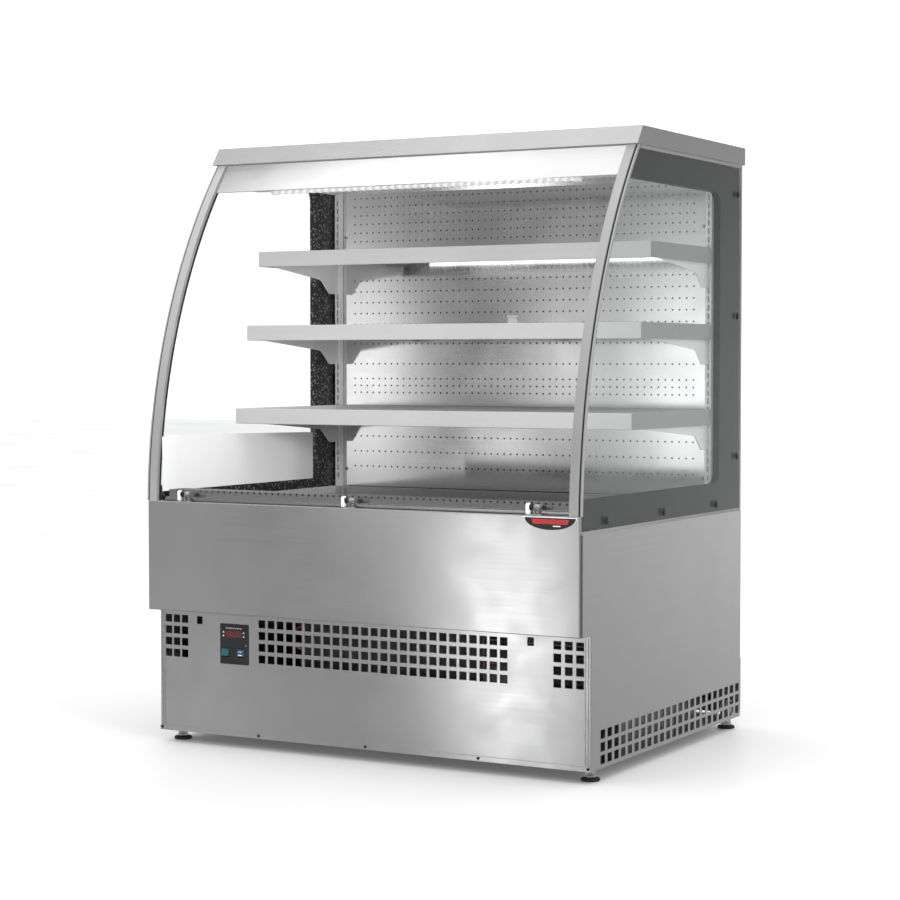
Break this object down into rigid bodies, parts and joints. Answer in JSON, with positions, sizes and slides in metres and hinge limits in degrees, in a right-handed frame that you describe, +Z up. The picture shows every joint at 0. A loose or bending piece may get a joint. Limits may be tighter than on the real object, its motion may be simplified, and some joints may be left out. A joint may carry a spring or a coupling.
{
  "type": "refrigerated deli case",
  "caption": "Open-front refrigerated display case: curved glass end walls, stepped stainless base, shelves on slotted uprights, lit header and levelling feet.",
  "frame": {"origin": "centre of the footprint at floor level", "axes": "+X to the right seen from the open front, +Y to the rear, +Z up"},
  "size_m": [1, 0.8, 1.25],
  "materials": {
    "stainless": "fine vertical and horizontal brushed grain",
    "galvanised": "galvanised sheet",
    "screw_steel": "bright",
    "foam": "rigid polyurethane foam, skinned",
    "clear_glass": "clear tempered",
    "dark_border": "dark grey printed border and spacer",
    "gasket": "matt black",
    "lamp": "ribbed white diffuser",
    "honeycomb": "thin-walled cells",
    "black_plastic": "fine grained",
    "display": "dark red tinted window",
    "key_plastic": "pale keys",
    "rocker_teal": "lit rocker",
    "rocker_blue": "lit rocker",
    "fan_plastic": "glass-filled",
    "motor_paint": "black enamel",
    "coil_aluminium": "mill finish fins",
    "copper": "drawn copper tube",
    "foot_steel": "zinc plated stem, black pad",
    "badge": "dark badge with a plain red band"
  },
  "bodies": {
    "case": {"air_honeycomb": "honeycomb", "back_panel": "stainless", "badge_plate": "badge", "base_frame": "stainless", "cable_gland": "black_plastic", "compressor": "motor_paint", "compressor_mounts": "gasket", "condenser_coil": "coil_aluminium", "condenser_shroud": "galvanised", "controller_display": "display", "controller_plate": "black_plastic", "drip_tray": "galvanised", "electric_box": "black_plastic", "end_frame_left": "stainless", "end_frame_right": "stainless", "evaporator_coil": "coil_aluminium", "fan_motors": "motor_paint", "fan_plate": "galvanised", "foam_insulation": "foam", "frame_gaskets": "gasket", "front_panel_lower": "stainless", "front_panel_upper": "stainless", "front_rail": "stainless", "glass_border_left": "dark_border", "glass_border_right": "dark_border", "glass_panes_left": "clear_glass", "glass_panes_right": "clear_glass", "header_fascia": "stainless", "header_lamp": "lamp", "panel_screws": "screw_steel", "pipework": "copper", "rail_clips": "screw_steel", "rear_grille": "galvanised", "rear_skin": "galvanised", "shelf_brackets": "stainless", "shelf_lamp": "lamp", "shelf_uprights": "stainless", "side_panel_left": "stainless", "side_panel_right": "stainless", "splash_plate": "stainless", "top_cover": "stainless", "well_liner": "stainless"},
    "foot_front_left": {"foot_front_left": "foot_steel"},
    "foot_front_right": {"foot_front_right": "foot_steel"},
    "foot_rear_left": {"foot_rear_left": "foot_steel"},
    "foot_rear_right": {"foot_rear_right": "foot_steel"},
    "shelf_top": {"shelf_top": "stainless"},
    "shelf_middle": {"shelf_middle": "stainless"},
    "shelf_bottom": {"shelf_bottom": "stainless"},
    "deck_pan_left": {"deck_pan_left": "stainless"},
    "deck_pan_right": {"deck_pan_right": "stainless"},
    "evaporator_fan_left": {"evaporator_fan_left": "fan_plastic"},
    "evaporator_fan_right": {"evaporator_fan_right": "fan_plastic"},
    "condenser_fan": {"condenser_fan": "fan_plastic"},
    "rocker_left": {"rocker_left": "rocker_teal"},
    "rocker_right": {"rocker_right": "rocker_blue"},
    "key_up": {"key_up": "key_plastic"},
    "key_down": {"key_down": "key_plastic"},
    "key_set": {"key_set": "key_plastic"},
    "key_defrost": {"key_defrost": "key_plastic"}
  },
  "joints": [
    {"name": "foot_front_left_level", "type": "slide", "parent": "case", "child": "foot_front_left", "axis": [0, 0, -1], "range_m": [0, 0.02]},
    {"name": "foot_front_right_level", "type": "slide", "parent": "case", "child": "foot_front_right", "axis": [0, 0, -1], "range_m": [0, 0.02]},
    {"name": "foot_rear_left_level", "type": "slide", "parent": "case", "child": "foot_rear_left", "axis": [0, 0, -1], "range_m": [0, 0.02]},
    {"name": "foot_rear_right_level", "type": "slide", "parent": "case", "child": "foot_rear_right", "axis": [0, 0, -1], "range_m": [0, 0.02]},
    {"name": "shelf_top_lift", "type": "slide", "parent": "case", "child": "shelf_top", "axis": [0, 0, 1], "range_m": [0, 0.04]},
    {"name": "shelf_middle_lift", "type": "slide", "parent": "case", "child": "shelf_middle", "axis": [0, 0, 1], "range_m": [0, 0.04]},
    {"name": "shelf_bottom_lift", "type": "slide", "parent": "case", "child": "shelf_bottom", "axis": [0, 0, 1], "range_m": [0, 0.04]},
    {"name": "deck_pan_left_lift", "type": "slide", "parent": "case", "child": "deck_pan_left", "axis": [0, 0, 1], "range_m": [0, 0.04]},
    {"name": "deck_pan_right_lift", "type": "slide", "parent": "case", "child": "deck_pan_right", "axis": [0, 0, 1], "range_m": [0, 0.04]},
    {"name": "evaporator_fan_left_spin", "type": "hinge", "parent": "case", "child": "evaporator_fan_left", "pos_m": [-0.19, 0.128, 0.424], "axis": [0, 1, 0], "continuous": true},
    {"name": "evaporator_fan_right_spin", "type": "hinge", "parent": "case", "child": "evaporator_fan_right", "pos_m": [0.19, 0.128, 0.424], "axis": [0, 1, 0], "continuous": true},
    {"name": "condenser_fan_spin", "type": "hinge", "parent": "case", "child": "condenser_fan", "pos_m": [0.03, -0.176, 0.165], "axis": [0, 1, 0], "continuous": true},
    {"name": "rocker_left_tilt", "type": "hinge", "parent": "case", "child": "rocker_left", "pos_m": [-0.332, -0.352, 0.1965], "axis": [1, 0, 0], "range_deg": [0, 16]},
    {"name": "rocker_right_tilt", "type": "hinge", "parent": "case", "child": "rocker_right", "pos_m": [-0.2935, -0.352, 0.1965], "axis": [1, 0, 0], "range_deg": [0, 16]},
    {"name": "key_up_press", "type": "slide", "parent": "case", "child": "key_up", "axis": [0, 1, 0], "range_m": [0, 0.0005], "stiffness_N_per_m": 300, "springref_m": -0.0003},
    {"name": "key_down_press", "type": "slide", "parent": "case", "child": "key_down", "axis": [0, 1, 0], "range_m": [0, 0.0005], "stiffness_N_per_m": 300, "springref_m": -0.0003},
    {"name": "key_set_press", "type": "slide", "parent": "case", "child": "key_set", "axis": [0, 1, 0], "range_m": [0, 0.0005], "stiffness_N_per_m": 300, "springref_m": -0.0003},
    {"name": "key_defrost_press", "type": "slide", "parent": "case", "child": "key_defrost", "axis": [0, 1, 0], "range_m": [0, 0.0005], "stiffness_N_per_m": 300, "springref_m": -0.0003}
  ]
}
